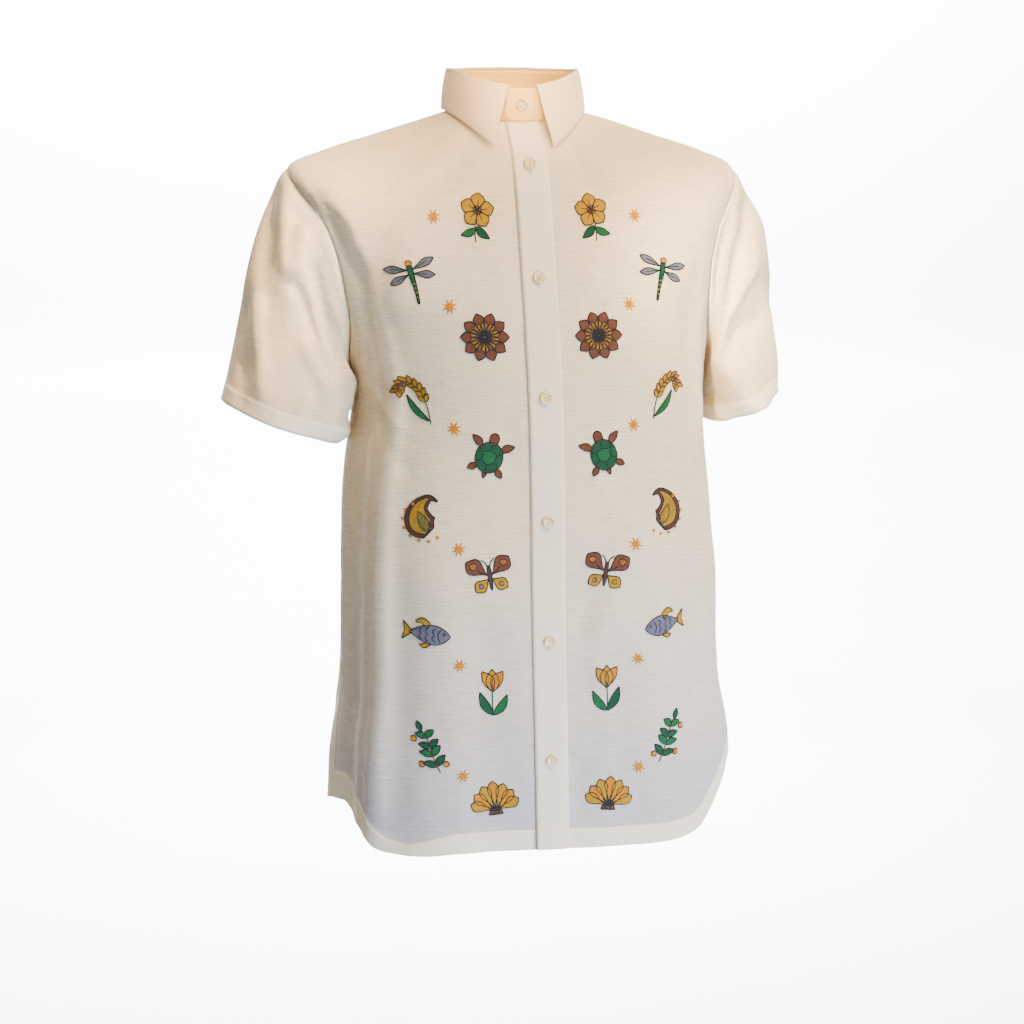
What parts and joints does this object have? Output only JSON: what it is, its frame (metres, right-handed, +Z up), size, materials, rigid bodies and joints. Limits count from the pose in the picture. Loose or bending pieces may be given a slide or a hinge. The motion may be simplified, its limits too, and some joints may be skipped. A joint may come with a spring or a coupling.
{
  "type": "barong tagalog shirt",
  "caption": "Short-sleeved barong tagalog shirt in pale semi-sheer cloth with a pointed collar, a placket and side vents, in its hollow worn form, buttoned to the neck.",
  "frame": {"origin": "middle of the neck opening, level with the neck seam at the sides of the neck, where the wearer holds the shirt up", "axes": "+Z up along the wearer's body, -Y out of the front, +X towards the wearer's left"},
  "size_m": [0.5495, 0.2667, 0.7357],
  "materials": {
    "cloth": "semi-sheer ivory weave with fine slubs and a soft sheen",
    "collar_cloth": "crisp ivory weave, two layers thick",
    "button": "pearly cream gloss",
    "embroidery": "satin-stitch thread in gold, brown, green, grey and orange",
    "thread": "matt ivory sewing thread"
  },
  "bodies": {
    "root": {"front_right": "cloth", "front_left": "cloth", "placket": "cloth", "back": "cloth", "yoke": "cloth", "sleeve_right": "cloth", "sleeve_left": "cloth", "collar_stand": "collar_cloth", "collar_leaf": "collar_cloth", "button_collar": "button", "button_1": "button", "button_2": "button", "button_3": "button", "button_4": "button", "button_5": "button", "button_6": "button"}
  },
  "joints": []
}
